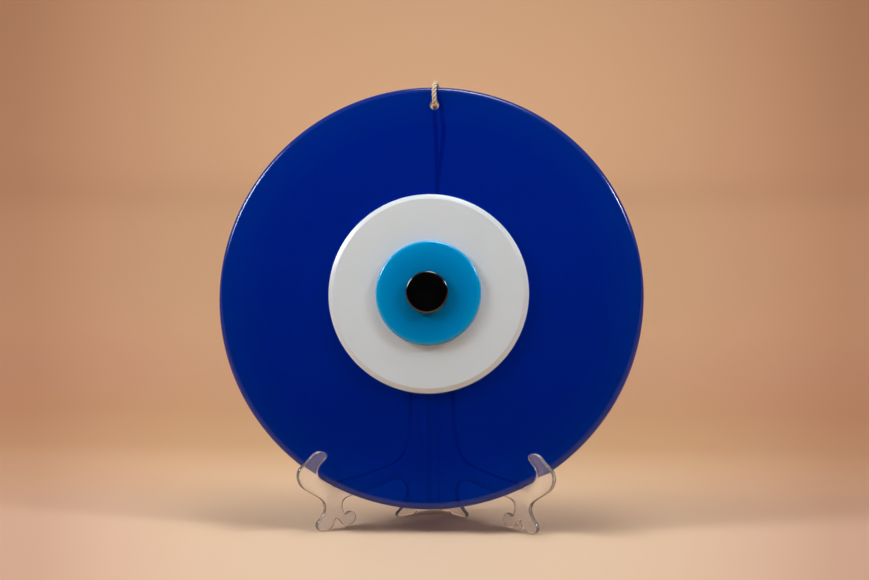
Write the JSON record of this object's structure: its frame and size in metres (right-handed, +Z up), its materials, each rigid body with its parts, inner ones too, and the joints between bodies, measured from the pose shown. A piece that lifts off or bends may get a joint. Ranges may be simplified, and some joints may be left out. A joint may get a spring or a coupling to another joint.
{
  "type": "evil eye ornament",
  "caption": "Round glass eye amulet of glued concentric discs with a hanging cord, leaning on a clear folding plate stand.",
  "frame": {"origin": "on the surface the stand rests on, in the middle of the object's width and depth, its cord left out", "axes": "+Z up, -Y the front that the eye looks towards, +X to the eye's right as seen from the front"},
  "size_m": [0.25, 0.0853, 0.2584],
  "materials": {
    "cobalt_glass": "polished, deep cobalt",
    "white_glass": "polished, opaque",
    "light_blue_glass": "polished, opaque",
    "black_glass": "polished, opaque",
    "clear_adhesive": "clear",
    "cotton_cord": "twisted natural cotton",
    "clear_plastic": "clear, moulded"
  },
  "bodies": {
    "spine": {"stand_spine": "clear_plastic"},
    "left_wing": {"stand_left_wing": "clear_plastic"},
    "right_wing": {"stand_right_wing": "clear_plastic"},
    "ornament": {"cobalt_glass_disc": "cobalt_glass", "white_disc": "white_glass", "light_blue_disc": "light_blue_glass", "black_pupil": "black_glass", "white_disc_adhesive": "clear_adhesive", "light_blue_disc_adhesive": "clear_adhesive", "pupil_adhesive": "clear_adhesive", "hanging_cord": "cotton_cord", "cord_knot": "cotton_cord"}
  },
  "joints": [
    {"name": "ornament_lift", "type": "slide", "parent": "spine", "child": "ornament", "axis": [0, 0.1392, 0.9903], "range_m": [0, 0.2]},
    {"name": "right_wing_fold", "type": "hinge", "parent": "spine", "child": "right_wing", "pos_m": [0.0021, 0.02614, 0], "axis": [0, 0, -1], "range_deg": [0, 47.5]},
    {"name": "left_wing_fold", "type": "hinge", "parent": "spine", "child": "left_wing", "pos_m": [-0.0021, 0.02614, 0], "axis": [0, 0, 1], "range_deg": [0, 47.5]}
  ],
  "couplings": [
    {"joint": "right_wing_fold", "follows": "ornament_lift", "rad_per_m": 4.145},
    {"joint": "left_wing_fold", "follows": "ornament_lift", "rad_per_m": 4.145}
  ]
}
